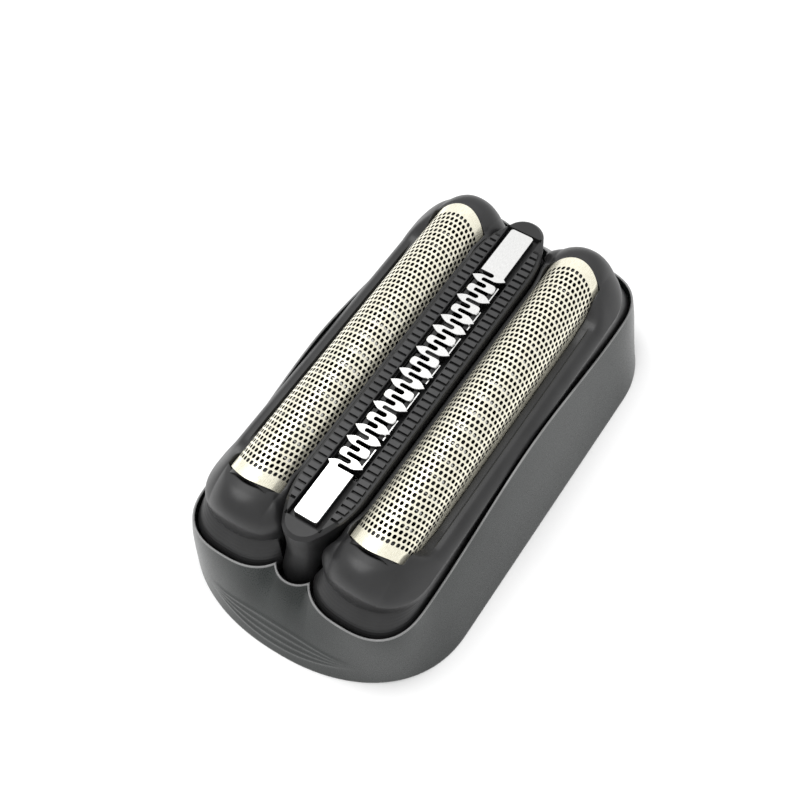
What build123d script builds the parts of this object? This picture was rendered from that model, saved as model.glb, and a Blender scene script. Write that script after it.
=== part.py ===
"""Triple shaver foil head: two floating foils with a long-hair trimmer between them, in a tapered housing."""
import os
from math import atan2, cos, degrees, radians, sin
from build123d import *

# Frame: X along the foils, Y across them, Z up; z = 0 is the base rim. All sizes in millimetres.

# Outer envelope
LENGTH = 60.4
WIDTH = 33.4
FOIL_CROWN_Z = 16.9

# Housing: a tapered skirt with grip ridges on its ends; three lobes rise from it to a scalloped, arched rim
RIM_CREST_Z = 12.0
RIM_END_Z = 9.6
RIM_ARCH_HALF_LENGTH = 21.0
END_ANGLE = 6.0
CORNER_ANGLE = 43.0
BASE_HAUNCH = 20.7
BASE_CORNER = 8.0
RIM_WALL = 0.25
SIDE_WALL = 0.35
LOBE_LEAN = 1.3
VALLEY_HALF_LENGTH = 24.3
VALLEY_DEPTH = 5.9
ROOM_END_WALL = 2.6
ROOM_SIDE_WALL = 1.4
ROOM_CUT_LENGTH = 7.6
ROOM_CUT_WIDTH = 8.3
LEDGE_Z = 4.5
RIDGE_COUNT = 2
RIDGE_LOWEST_Z = 2.0
RIDGE_PITCH = 1.5
RIDGE_WIDTH = 0.7
RIDGE_HEIGHT = 0.25
RIDGE_HALF_SPAN = 6.0

# Three-lobed well in the housing
WELL_GAP = 0.3
WELL_END_GAP = 2.0

# Foils
FOIL_Y = 7.5
FOIL_RADIUS = 3.25
FOIL_THICKNESS = 0.14
FOIL_END_BOW = 1.3
FOIL_FLANK = 1.95
BACK_FACETS = 16
HOLE_LENGTH = 3.0
HOLE_WIDTH = 0.6
HOLE_COLUMNS = 5
HOLE_PITCH_X = 7.4
HOLE_ROW_ANGLES = (-54, -18, 18, 54)

# Foil frames: tall end lobes joined by low side rails
END_SLIT = 0.5
LOBE_LENGTH = 3.2
LOBE_TOP = 16.2
LOBE_ROUND = 2.4
ROUND_STEPS = 2
FRAME_HALF_WIDTH = 5.85
CAP_BOTTOM = 11.3
SIDE_RAIL_Z = 12.9
SADDLE_SLOPE = 4.5
RAIL_GROOVE_INSET = 1.7
RAIL_GROOVE = 0.2
SKIRT_INSET = 0.55
FRAME_BOTTOM = 6.8
PLUG_LENGTH = 0.9
RAIL_DEPTH = 0.6
RAIL_HEIGHT = 0.7
FOIL_RAIL_TOP = 9.4

# Moving parts: floating travel, cutting stroke and running clearances
FLOAT_TRAVEL = 2.0
STROKE = 1.2
RUN_GAP = 0.1
SIDE_GAP = 0.15
PASS_GAP = 0.3
CUTTER_END_GAP = 0.3

# Blade stacks and their carriers
BLADE_HALF_LENGTH = 17.4
BLADE_COUNT = 5
BLADE_THICKNESS = 0.45
BLADE_FOOT_Z = 12.2
CORE_WIDTH = 2.0
CORE_BOTTOM = 11.6
CARRIER_THICKNESS = 1.2
LUG_HALF_LENGTH = 2.2

# Trimmer
TRIMMER_TOP = 16.05
SHOULDER_Z = 15.2
FOIL_GAP = 0.45
NOSE_WALL = 2.0
NOSE_DEPTH = 1.4
NOSE_HALF_WIDTH = 2.15
NOSE_INSET = 0.25
SHOULDER_TAPER = 5.8
TRIMMER_BODY_HALF_WIDTH = 2.95
TRIMMER_WALL = 0.95
TRIMMER_RAIL_TOP = 13.3
RECESS_GAP = 0.4
RECESS_HALF_WIDTH = 2.05
RECESS_FLOOR = 15.3
RIB_COUNT = 11
RIB_PITCH = 3.3
RIB_GROOVE = 1.3
RIB_DEPTH = 0.35
GUARD_TOP = 16.4
GUARD_THICKNESS = 0.3
GUARD_HALF_LENGTH = 21.3
GUARD_HALF_WIDTH = 1.43
FINGER_ZONE = 14.8
FINGER_SLOTS = 35
FINGER_GAP = 0.48
SLOT_OVERLAP = 0.4
TIP_REACH = 0.45
TIP_WIDTH = 0.95
CUTTER_THICKNESS = 0.3
CUTTER_TEETH = 7

# Chassis, retaining hooks and leaf springs
CHASSIS_THICKNESS = 1.2
WINDOW_HALF_LENGTH = 17.5
WINDOW_HALF_WIDTH = 9.0
SHELF_BOTTOM = 7.2
SHELF_THICKNESS = 0.8
FOIL_SHELF_LENGTH = 1.45
TRIMMER_SHELF_LENGTH = 2.4
POCKET_WALL = 0.8
HOOK_HEIGHT = 0.9
HOOK_REACH = 0.4
HOOK_THICKNESS = 1.0
HOOK_WIDTH = 2.4
TRIMMER_HOOK_WIDTH = 1.6
LEAF_THICKNESS = 0.2
LEAF_WIDTH = 0.9
LEAF_SPAN = 4.2
TRIMMER_LEAF_SPAN = 2.2
TRIMMER_LEAF_WIDTH = 1.6

# Drive bridge
BRIDGE_HALF_LENGTH = 2.2
BRIDGE_TOP = 6.2
BRIDGE_BOTTOM = 5.0
BRIDGE_REACH = 11.8
TAB_WIDTH = 2.2
POST_LENGTH = 2.0
POST_WIDTH = 1.5
SOCKET_LENGTH = 6.0
SOCKET_WIDTH = 6.4
SOCKET_BOTTOM = 1.6
DRIVE_SLOT_LENGTH = 2.2
DRIVE_SLOT_WIDTH = 5.0
DRIVE_SLOT_DEPTH = 2.6

# Derived sizes: the lengths follow the blades, outwards to the rim of the housing
CAVITY_HALF_LENGTH = BLADE_HALF_LENGTH + STROKE + CUTTER_END_GAP
PLUG_END = CAVITY_HALF_LENGTH + PLUG_LENGTH
FOIL_HALF_LENGTH = PLUG_END + FOIL_END_BOW
LOBE_INNER_X = FOIL_HALF_LENGTH + END_SLIT
FRAME_HALF_LENGTH = LOBE_INNER_X + LOBE_LENGTH
RECESS_HALF_LENGTH = GUARD_HALF_LENGTH + RECESS_GAP
TRIMMER_HALF_LENGTH = RECESS_HALF_LENGTH + NOSE_WALL
WELL_HALF_LENGTH = FRAME_HALF_LENGTH + WELL_END_GAP
NOSE_WELL_HALF_LENGTH = TRIMMER_HALF_LENGTH + WELL_END_GAP
WELL_HALF_WIDTH = FRAME_HALF_WIDTH + WELL_GAP
NOSE_WELL_HALF_WIDTH = NOSE_HALF_WIDTH + WELL_GAP
RIM_HALF_WIDTH = FOIL_Y + WELL_HALF_WIDTH + SIDE_WALL
SKIRT_LEAN = WIDTH / 2 - RIM_HALF_WIDTH
FOIL_AXIS_Z = FOIL_CROWN_Z - FOIL_RADIUS
FOIL_FOOT_Z = FOIL_AXIS_Z - FOIL_FLANK
FOIL_INNER_Y = FOIL_Y - FOIL_RADIUS
FOIL_OUTER_Y = FOIL_Y + FOIL_RADIUS
TRIMMER_HALF_WIDTH = FOIL_INNER_Y - FOIL_GAP
BLADE_RADIUS = FOIL_RADIUS - FOIL_THICKNESS - RUN_GAP
CARRIER_BOTTOM = FOIL_RAIL_TOP + RUN_GAP / 2
CARRIER_TOP = CARRIER_BOTTOM + CARRIER_THICKNESS
BRIDGE_NOTCH = max(BRIDGE_HALF_LENGTH, SOCKET_LENGTH / 2) + STROKE + PASS_GAP
NOTCH_TOP = BRIDGE_TOP + FLOAT_TRAVEL + PASS_GAP
LUG_BOTTOM = BRIDGE_TOP + FLOAT_TRAVEL + PASS_GAP
FOIL_SLOT_ROOF = CORE_BOTTOM - 2 * RUN_GAP
FOIL_POST_TOP = FOIL_SLOT_ROOF - FLOAT_TRAVEL - 2 * RUN_GAP
GUARD_BOTTOM = GUARD_TOP - GUARD_THICKNESS
CUTTER_TOP = GUARD_BOTTOM - RUN_GAP
CUTTER_BOTTOM = CUTTER_TOP - CUTTER_THICKNESS
CUTTER_HALF_LENGTH = FINGER_ZONE - STROKE - RUN_GAP
SLIDER_BOTTOM = TRIMMER_RAIL_TOP + RUN_GAP / 2
SLIDER_TOP = SLIDER_BOTTOM + 1.0
SLIDER_ROOM = TRIMMER_BODY_HALF_WIDTH - TRIMMER_WALL
TRIMMER_SLOT_ROOF = SLIDER_TOP + PASS_GAP
TRIMMER_POST_TOP = TRIMMER_SLOT_ROOF - FLOAT_TRAVEL - 2 * RUN_GAP
TRIMMER_LUG_BOTTOM = TRIMMER_POST_TOP - 2.0
HOOK_UNDERSIDE = SHELF_BOTTOM + SHELF_THICKNESS + RUN_GAP / 2
FOIL_POCKET_X = FRAME_HALF_LENGTH - SKIRT_INSET - POCKET_WALL
FOIL_SHELF_X = FOIL_POCKET_X - FOIL_SHELF_LENGTH
FOIL_HOOK_X = FOIL_SHELF_X - RUN_GAP - HOOK_THICKNESS
TRIMMER_POCKET_X = TRIMMER_HALF_LENGTH - NOSE_INSET - POCKET_WALL
TRIMMER_SHELF_X = TRIMMER_POCKET_X - TRIMMER_SHELF_LENGTH
TRIMMER_HOOK_X = TRIMMER_SHELF_X - RUN_GAP - HOOK_THICKNESS


def block(x0, x1, y0, y1, z0, z1):
    """Box between two opposite corners."""
    size = Box(x1 - x0, y1 - y0, z1 - z0)
    return Pos((x0 + x1) / 2, (y0 + y1) / 2, (z0 + z1) / 2) * size


def centred(half_x, y, half_y, z0, z1):
    """Box that is symmetric about the YZ plane."""
    return block(-half_x, half_x, y - half_y, y + half_y, z0, z1)


def slot_plan(half_length, half_width, y, z):
    """Oblong face with half-round ends, lying along X."""
    return Pos(0, y, z) * SlotOverall(2 * half_length, 2 * half_width)


def stadium(half_length, half_width, y, z0, z1):
    """Upright prism with half-round ends, lying along X."""
    return extrude(slot_plan(half_length, half_width, y, z0), z1 - z0)


def bowed_plan(half_length, half_width, bow):
    """Oblong face with straight long sides and outward bowed ends."""
    x = half_length - bow
    outline = Line((-x, half_width), (x, half_width))
    outline += ThreePointArc((x, half_width), (half_length, 0), (x, -half_width))
    outline += Line((x, -half_width), (-x, -half_width))
    outline += ThreePointArc((-x, -half_width), (-half_length, 0), (-x, half_width))
    return make_face(outline)


def tapered(plan, height, inset):
    """Upright solid on a plan, with sides that lean in by an even inset over its height."""
    return extrude(plan, height, taper=degrees(atan2(inset, height)))


def oblong_plan(inset):
    """Base outline moved in; each quarter has an end, a haunch and a corner arc, met at fixed normal angles."""
    angles = (0, END_ANGLE, CORNER_ANGLE, 90)
    rise = [sin(radians(stop)) - sin(radians(start)) for start, stop in zip(angles, angles[1:])]
    end = (WIDTH / 2 - BASE_HAUNCH * rise[1] - BASE_CORNER * rise[2]) / rise[0]
    x = LENGTH / 2 - inset
    y = 0
    quarter = Curve()
    for radius, start, stop in zip((end, BASE_HAUNCH, BASE_CORNER), angles, angles[1:]):
        radius -= inset
        centre_x = x - radius * cos(radians(start))
        centre_y = y - radius * sin(radians(start))
        quarter += CenterArc((centre_x, centre_y), radius, start, stop - start)
        x = centre_x + radius * cos(radians(stop))
        y = centre_y + radius * sin(radians(stop))
    quarter += Line((x, y), (0, y))
    half = quarter + mirror(quarter, about=Plane.XZ)
    return make_face(half + mirror(half, about=Plane.YZ))


def trimmer_prism(half_width, growth, z0, z1):
    """Upright prism in the trimmer's plan: straight shoulders that run in to a rounded nose at each end."""
    tip = TRIMMER_HALF_LENGTH + growth
    nose_x = tip - NOSE_DEPTH
    nose_y = NOSE_HALF_WIDTH + growth
    shoulder_x = nose_x - SHOULDER_TAPER
    run_in = TangentArc((shoulder_x, half_width), (nose_x, nose_y), tangent=(1, 0))
    end = Line((0, half_width), (shoulder_x, half_width)) + run_in
    end += ThreePointArc((nose_x, nose_y), (tip, 0), (nose_x, -nose_y))
    end += mirror(run_in, about=Plane.XZ)
    end += Line((shoulder_x, -half_width), (0, -half_width))
    half = extrude(Pos(0, 0, z0) * make_face(end + Line((0, -half_width), (0, half_width))), z1 - z0)
    return both_ends(half)


def both_ends(solid):
    """The solid and its mirror image at the other end of the head."""
    return solid + mirror(solid, about=Plane.YZ)


def lean_at(z):
    """How far the skirt leans in at one height."""
    return SKIRT_LEAN * z / RIM_CREST_Z


def skirt(growth, z0, z1):
    """Slice of the tapered skirt between two heights, moved out by a growth."""
    return tapered(Pos(0, 0, z0) * oblong_plan(lean_at(z0) - growth), z1 - z0, lean_at(z1 - z0))


def socket_room(z0, z1):
    """Slice of the room inside the skirt, which has straight walls and cut corners."""
    x = LENGTH / 2 - ROOM_END_WALL - lean_at(z0)
    y = WIDTH / 2 - ROOM_SIDE_WALL - lean_at(z0)
    corner = Polyline((x, 0), (x, y - ROOM_CUT_WIDTH), (x - ROOM_CUT_LENGTH, y), (0, y))
    half = corner + mirror(corner, about=Plane.XZ)
    plan = make_face(half + mirror(half, about=Plane.YZ))
    return tapered(Pos(0, 0, z0) * plan, z1 - z0, lean_at(z1 - z0))


def well_lobes():
    """Half-length, half-width and y of the three lobes that the floating elements stand in."""
    return [(WELL_HALF_LENGTH, WELL_HALF_WIDTH, FOIL_Y), (WELL_HALF_LENGTH, WELL_HALF_WIDTH, -FOIL_Y),
            (NOSE_WELL_HALF_LENGTH, NOSE_WELL_HALF_WIDTH, 0)]


def rim_lobes():
    """Tapered lobes that carry the rim round the three wells."""
    lobes = []
    for half_length, half_width, y in well_lobes():
        growth = RIM_WALL + LOBE_LEAN
        lobes.append(tapered(slot_plan(half_length + growth, half_width + growth, y, 0), RIM_CREST_Z, LOBE_LEAN))
    return lobes


def valleys():
    """Slopes cut from the top of the skirt's ends, so that the lobes stand out of them."""
    slope = make_face(Polyline(
        (VALLEY_HALF_LENGTH, RIM_END_Z),
        (LENGTH / 2, RIM_END_Z),
        (LENGTH / 2, RIM_END_Z - VALLEY_DEPTH),
        close=True,
    ))
    return both_ends(extrude(Plane.XZ * slope, WIDTH, both=True))


def above_rim():
    """Room above the rim, which arches up along both sides of the head."""
    x = RIM_ARCH_HALF_LENGTH
    end = LENGTH / 2
    top = RIM_CREST_Z + 1
    outline = ThreePointArc((-x, RIM_END_Z), (0, RIM_CREST_Z), (x, RIM_END_Z))
    outline += Polyline((x, RIM_END_Z), (end, RIM_END_Z), (end, top), (-end, top), (-end, RIM_END_Z), (-x, RIM_END_Z))
    return extrude(Plane.XZ * make_face(outline), WIDTH, both=True)


def grip_ridges():
    """Low bands round both ends of the skirt."""
    ridges = []
    ends = both_ends(block(0, LENGTH, -RIDGE_HALF_SPAN, RIDGE_HALF_SPAN, 0, RIM_END_Z))
    for i in range(RIDGE_COUNT):
        z = RIDGE_LOWEST_Z + i * RIDGE_PITCH
        ridges.append(skirt(RIDGE_HEIGHT, z - RIDGE_WIDTH / 2, z + RIDGE_WIDTH / 2) & ends)
    return ridges


def outer_housing():
    housing = skirt(0, 0, RIM_CREST_Z) - valleys() + grip_ridges() + rim_lobes() - above_rim()
    for half_length, half_width, y in well_lobes():
        housing -= stadium(half_length, half_width, y, LEDGE_Z - 1, RIM_CREST_Z + 1)
    return housing - socket_room(0, LEDGE_Z)


def hook(x, y, width):
    """Upright post with an outward barb above the catch shelf of a floating frame."""
    top = HOOK_UNDERSIDE + HOOK_HEIGHT
    post = block(x, x + HOOK_THICKNESS, y - width / 2, y + width / 2, LEDGE_Z - 0.2, top)
    barb = Plane.XZ * make_face(Polyline(
        (x + HOOK_THICKNESS, HOOK_UNDERSIDE),
        (x + HOOK_THICKNESS + HOOK_REACH, HOOK_UNDERSIDE),
        (x + HOOK_THICKNESS, top),
        close=True,
    ))
    return post + Pos(0, y, 0) * extrude(barb, width / 2, both=True)


def chassis():
    bottom = LEDGE_Z - CHASSIS_THICKNESS
    plate = socket_room(bottom, LEDGE_Z)
    plate -= centred(WINDOW_HALF_LENGTH, 0, WINDOW_HALF_WIDTH, bottom - 1, LEDGE_Z + 1)
    hooks = hook(TRIMMER_HOOK_X, 0, TRIMMER_HOOK_WIDTH)
    for y in (-FOIL_Y, FOIL_Y):
        hooks += hook(FOIL_HOOK_X, y, HOOK_WIDTH)
    return plate + both_ends(hooks)


def arch(radius, foot_z, half_length):
    """Solid with a half-round top on straight flanks, lying along X over the left foil's axis."""
    section = make_face(
        Line((-radius, foot_z), (-radius, FOIL_AXIS_Z))
        + ThreePointArc((-radius, FOIL_AXIS_Z), (0, FOIL_AXIS_Z + radius), (radius, FOIL_AXIS_Z))
        + Line((radius, FOIL_AXIS_Z), (radius, foot_z))
        + Line((radius, foot_z), (-radius, foot_z))
    )
    return Pos(0, FOIL_Y, 0) * extrude(Plane.YZ * section, half_length, both=True)


def foil_holes():
    """Staggered radial holes through the arch of the left foil."""
    punch = extrude(Rectangle(HOLE_LENGTH, HOLE_WIDTH), 2 * HOLE_WIDTH)
    holes = []
    for row, angle in enumerate(HOLE_ROW_ANGLES):
        columns = HOLE_COLUMNS - row % 2
        for column in range(columns):
            x = (column - (columns - 1) / 2) * HOLE_PITCH_X
            seat = Pos(x, FOIL_Y, FOIL_AXIS_Z) * Rot(angle, 0, 0) * Pos(0, 0, FOIL_RADIUS - HOLE_WIDTH)
            holes.append(seat * punch)
    return holes


def foil_outline(growth):
    """Upright prism in the plan of the left foil, with its bowed ends moved out."""
    plan = bowed_plan(FOIL_HALF_LENGTH + growth, FOIL_RADIUS, FOIL_END_BOW)
    return Pos(0, FOIL_Y, FOIL_FOOT_Z) * extrude(plan, FOIL_CROWN_Z)


def foil():
    sheet = arch(FOIL_RADIUS, FOIL_FOOT_Z, LENGTH / 2)
    sheet -= arch(FOIL_RADIUS - FOIL_THICKNESS, FOIL_FOOT_Z - 1, LENGTH / 2)
    sheet &= foil_outline(0)
    return sheet - foil_holes()


def round_back(radius, foot_z, half_length):
    """Solid with a faceted round back and a flat foot, lying along X over the left foil's axis."""
    disc = Plane.YZ * (Pos(FOIL_Y, FOIL_AXIS_Z) * RegularPolygon(radius, BACK_FACETS))
    return extrude(disc, half_length, both=True) & centred(LENGTH, FOIL_Y, radius, foot_z, FOIL_CROWN_Z)


def saddle():
    """Room above the low side rails of the left frame, with slopes up to the lobes at both ends."""
    half = make_face(Polyline(
        (0, SIDE_RAIL_Z),
        (LOBE_INNER_X - SADDLE_SLOPE, SIDE_RAIL_Z),
        (LOBE_INNER_X, LOBE_TOP),
        (LOBE_INNER_X, FOIL_CROWN_Z),
        (0, FOIL_CROWN_Z),
        close=True,
    ))
    return both_ends(extrude(Plane.XZ * half, WIDTH, both=True))


def rounded_cap():
    """Oblong block over the left foil's axis, with its top edge rounded in a few conical steps."""
    cap = stadium(FRAME_HALF_LENGTH, FRAME_HALF_WIDTH, FOIL_Y, CAP_BOTTOM, LOBE_TOP - LOBE_ROUND)
    for step in range(ROUND_STEPS):
        low, high = (radians(90 * i / ROUND_STEPS) for i in (step, step + 1))
        inset = LOBE_ROUND * (1 - cos(low))
        z = LOBE_TOP - LOBE_ROUND * (1 - sin(low))
        plan = slot_plan(FRAME_HALF_LENGTH - inset, FRAME_HALF_WIDTH - inset, FOIL_Y, z)
        cap += tapered(plan, LOBE_ROUND * (sin(high) - sin(low)), LOBE_ROUND * (cos(low) - cos(high)))
    return cap


def foil_frame():
    cap = rounded_cap()
    skirt_length = FRAME_HALF_LENGTH - SKIRT_INSET
    skirt_width = FRAME_HALF_WIDTH - SKIRT_INSET
    frame = cap - saddle() + stadium(skirt_length, skirt_width, FOIL_Y, FRAME_BOTTOM, CAP_BOTTOM)
    groove_y = FOIL_Y + FRAME_HALF_WIDTH - RAIL_GROOVE_INSET
    frame -= centred(LOBE_INNER_X, groove_y, RAIL_GROOVE / 2, SIDE_RAIL_Z - RAIL_GROOVE, SIDE_RAIL_Z)
    # Plugs that close the foil's ends, then the room for the cutter between them
    frame -= foil_outline(END_SLIT)
    frame += round_back(FOIL_RADIUS - FOIL_THICKNESS, FOIL_FOOT_Z - PLUG_LENGTH, PLUG_END)
    frame -= centred(CAVITY_HALF_LENGTH, FOIL_Y, FOIL_RADIUS, 0, FOIL_CROWN_Z)
    # Rails that the cutter carrier slides on
    for y in (FOIL_INNER_Y, FOIL_OUTER_Y - RAIL_DEPTH):
        frame += block(-CAVITY_HALF_LENGTH, CAVITY_HALF_LENGTH, y, y + RAIL_DEPTH,
                       FOIL_RAIL_TOP - RAIL_HEIGHT, FOIL_RAIL_TOP)
    # Side cleared for the trimmer and its travel, and the notch over the drive bridge
    frame -= trimmer_prism(TRIMMER_BODY_HALF_WIDTH + PASS_GAP, PASS_GAP, 0, FOIL_CROWN_Z)
    frame -= trimmer_prism(TRIMMER_HALF_WIDTH + SIDE_GAP, PASS_GAP, SIDE_RAIL_Z, FOIL_CROWN_Z)
    frame -= centred(BRIDGE_NOTCH, FOIL_Y, WIDTH, 0, NOTCH_TOP)
    # Pocket in each end lobe, with the shelf that the hook and the leaf spring bear on
    half_y = LEAF_SPAN / 2 + PASS_GAP
    low_y = FOIL_Y - half_y
    high_y = FOIL_Y + half_y
    frame -= both_ends(block(CAVITY_HALF_LENGTH - RUN_GAP, FOIL_POCKET_X, low_y, high_y, 0, CAP_BOTTOM))
    shelf_top = SHELF_BOTTOM + SHELF_THICKNESS
    return frame + both_ends(block(FOIL_SHELF_X, FOIL_POCKET_X, low_y, high_y, SHELF_BOTTOM, shelf_top))


def blade_stack():
    """Row of round-backed blades on a common core."""
    stack = centred(BLADE_HALF_LENGTH, FOIL_Y, CORE_WIDTH / 2, CORE_BOTTOM, FOIL_AXIS_Z + 1)
    blade = round_back(BLADE_RADIUS, BLADE_FOOT_Z, BLADE_THICKNESS / 2)
    pitch = (2 * BLADE_HALF_LENGTH - BLADE_THICKNESS) / (BLADE_COUNT - 1)
    blades = [Pos((i - (BLADE_COUNT - 1) / 2) * pitch, 0, 0) * blade for i in range(BLADE_COUNT)]
    return stack + blades


def cutter_carrier():
    half_width = FOIL_RADIUS - SIDE_GAP
    carrier = centred(BLADE_HALF_LENGTH, FOIL_Y, half_width, CARRIER_BOTTOM, CARRIER_TOP)
    carrier += centred(BLADE_HALF_LENGTH, FOIL_Y, CORE_WIDTH / 2 + PASS_GAP, CARRIER_TOP, CORE_BOTTOM)
    carrier += centred(LUG_HALF_LENGTH, FOIL_Y, POST_WIDTH / 2 + 1, LUG_BOTTOM, CARRIER_TOP)
    slot = centred(POST_LENGTH / 2 + RUN_GAP / 2, FOIL_Y, POST_WIDTH / 2 + SIDE_GAP, 0, FOIL_SLOT_ROOF)
    return carrier - slot


def trimmer_frame():
    frame = trimmer_prism(TRIMMER_BODY_HALF_WIDTH, -NOSE_INSET, FRAME_BOTTOM, SHOULDER_Z)
    frame += trimmer_prism(TRIMMER_HALF_WIDTH, 0, SHOULDER_Z, TRIMMER_TOP)
    # Recess round the guard, raised pads under its ends and the room for the slider
    frame -= centred(RECESS_HALF_LENGTH, 0, RECESS_HALF_WIDTH, RECESS_FLOOR, TRIMMER_TOP + 1)
    frame += centred(GUARD_HALF_LENGTH, 0, GUARD_HALF_WIDTH - RUN_GAP, RECESS_FLOOR - RUN_GAP, GUARD_BOTTOM)
    frame -= centred(FINGER_ZONE, 0, SLIDER_ROOM, 0, TRIMMER_TOP + 1)
    for side in (-1, 1):
        y = side * (SLIDER_ROOM - 0.25)
        frame += centred(FINGER_ZONE, y, 0.25, TRIMMER_RAIL_TOP - RAIL_HEIGHT, TRIMMER_RAIL_TOP)
    frame -= centred(BRIDGE_NOTCH, 0, WIDTH, 0, NOTCH_TOP)
    # Pocket in each nose, with its catch shelf
    half_y = TRIMMER_HOOK_WIDTH / 2 + PASS_GAP
    frame -= both_ends(block(TRIMMER_HOOK_X - PASS_GAP, TRIMMER_POCKET_X, -half_y, half_y, 0, CAP_BOTTOM))
    shelf_top = SHELF_BOTTOM + SHELF_THICKNESS
    frame += both_ends(block(TRIMMER_SHELF_X, TRIMMER_POCKET_X, -half_y, half_y, SHELF_BOTTOM, shelf_top))
    # Comb grooves across both shoulders
    groove = centred(RIB_GROOVE / 2, TRIMMER_HALF_WIDTH, TRIMMER_HALF_WIDTH - RECESS_HALF_WIDTH - PASS_GAP,
                     TRIMMER_TOP - RIB_DEPTH, TRIMMER_TOP + 1)
    pair = groove + mirror(groove, about=Plane.XZ)
    return frame - [Pos((i - (RIB_COUNT - 1) / 2) * RIB_PITCH, 0, 0) * pair for i in range(RIB_COUNT)]


def finger_tip(x, side):
    """Pointed end of one guard finger."""
    y = GUARD_HALF_WIDTH - RUN_GAP
    point = make_face(Polyline(
        (x - TIP_WIDTH / 2, side * y),
        (x, side * (GUARD_HALF_WIDTH + TIP_REACH)),
        (x + TIP_WIDTH / 2, side * y),
        close=True,
    ))
    return extrude(Pos(0, 0, GUARD_BOTTOM) * point, GUARD_THICKNESS, dir=(0, 0, 1))


def trimmer_guard():
    """Steel plate with a winding strip of pointed fingers between two plain ends."""
    guard = centred(GUARD_HALF_LENGTH, 0, GUARD_HALF_WIDTH, GUARD_BOTTOM, GUARD_TOP)
    pitch = 2 * FINGER_ZONE / (FINGER_SLOTS + 1)
    slots = []
    tips = []
    for i in range(FINGER_SLOTS):
        x = (i - (FINGER_SLOTS - 1) / 2) * pitch
        side = 1 if i % 2 else -1
        slot_y = side * (GUARD_HALF_WIDTH - SLOT_OVERLAP)
        slots.append(Pos(x, 0, 0) * centred(FINGER_GAP / 2, slot_y, GUARD_HALF_WIDTH, 0, GUARD_TOP + 1))
        # Each slot ends under a finger on the other side; two in five of those are blunt
        if i % 5 not in (1, 3):
            tips.append(finger_tip(x, -side))
    return guard + tips - slots


def trimmer_cutter():
    """Moving comb blade under the guard."""
    blade = centred(CUTTER_HALF_LENGTH, 0, GUARD_HALF_WIDTH, CUTTER_BOTTOM, CUTTER_TOP)
    pitch = 2 * CUTTER_HALF_LENGTH / CUTTER_TEETH
    gaps = []
    for i in range(CUTTER_TEETH):
        x = (i - (CUTTER_TEETH - 1) / 2) * pitch
        for side in (-1, 1):
            y = side * GUARD_HALF_WIDTH
            gaps.append(Pos(x, 0, 0) * centred(pitch / 4, y, GUARD_HALF_WIDTH / 2, 0, GUARD_TOP))
    return blade - gaps


def trimmer_slider():
    half_width = SLIDER_ROOM - RUN_GAP
    slider = centred(CUTTER_HALF_LENGTH, 0, half_width, SLIDER_BOTTOM, SLIDER_TOP)
    slider += centred(CUTTER_HALF_LENGTH, 0, half_width / 2, SLIDER_TOP, CUTTER_BOTTOM)
    slider += centred(LUG_HALF_LENGTH, 0, POST_WIDTH / 2 + 0.55, TRIMMER_LUG_BOTTOM, SLIDER_TOP)
    slot = centred(POST_LENGTH / 2 + RUN_GAP / 2, 0, POST_WIDTH / 2 + SIDE_GAP, 0, TRIMMER_SLOT_ROOF)
    return slider - slot


def drive_bridge():
    """Cross bar with one post for each cutter and a slotted socket for the handle's drive pin."""
    bridge = centred(BRIDGE_HALF_LENGTH, 0, BRIDGE_REACH, BRIDGE_BOTTOM, BRIDGE_TOP)
    for side in (-1, 1):
        y = side * (BRIDGE_REACH - TAB_WIDTH / 2)
        bridge += centred(BRIDGE_HALF_LENGTH, y, TAB_WIDTH / 2, LEDGE_Z + RUN_GAP / 2, BRIDGE_TOP)
        bridge += centred(POST_LENGTH / 2, side * FOIL_Y, POST_WIDTH / 2, BRIDGE_TOP, FOIL_POST_TOP)
    bridge += centred(POST_LENGTH / 2, 0, POST_WIDTH / 2, BRIDGE_TOP, TRIMMER_POST_TOP)
    bridge += centred(SOCKET_LENGTH / 2, 0, SOCKET_WIDTH / 2, SOCKET_BOTTOM, BRIDGE_TOP)
    slot_top = SOCKET_BOTTOM + DRIVE_SLOT_DEPTH
    return bridge - centred(DRIVE_SLOT_LENGTH / 2, 0, DRIVE_SLOT_WIDTH / 2, 0, slot_top)


def leaf_spring(span, width):
    """Bent strip that stands on the chassis and bears on a catch shelf; its span runs along X."""
    height = SHELF_BOTTOM - LEDGE_Z
    half = span / 2
    crown = 0.4 * half
    leg = 1.3 * LEAF_THICKNESS
    outer = [(-half, 0), (-crown, height), (crown, height), (half, 0)]
    inner = [(half - leg, 0), (crown - leg / 2, height - LEAF_THICKNESS),
             (leg / 2 - crown, height - LEAF_THICKNESS), (leg - half, 0)]
    strip = Plane.XZ * make_face(Polyline(*outer, *inner, close=True))
    return Pos(0, 0, LEDGE_Z) * extrude(strip, width / 2, both=True)


def springs():
    """Six leaf springs: one under each end of every floating element."""
    foil_x = (FOIL_SHELF_X + FOIL_POCKET_X) / 2
    trimmer_x = (TRIMMER_SHELF_X + TRIMMER_POCKET_X) / 2
    foil_leaf = Rot(0, 0, 90) * leaf_spring(LEAF_SPAN, LEAF_WIDTH)
    trimmer_leaf = leaf_spring(TRIMMER_LEAF_SPAN, TRIMMER_LEAF_WIDTH)
    placed = {}
    for end, sign in (("near", -1), ("far", 1)):
        placed["left_spring_" + end] = Pos(sign * foil_x, FOIL_Y, 0) * foil_leaf
        placed["right_spring_" + end] = Pos(sign * foil_x, -FOIL_Y, 0) * foil_leaf
        placed["trimmer_spring_" + end] = Pos(sign * trimmer_x, 0, 0) * trimmer_leaf
    return placed


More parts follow.
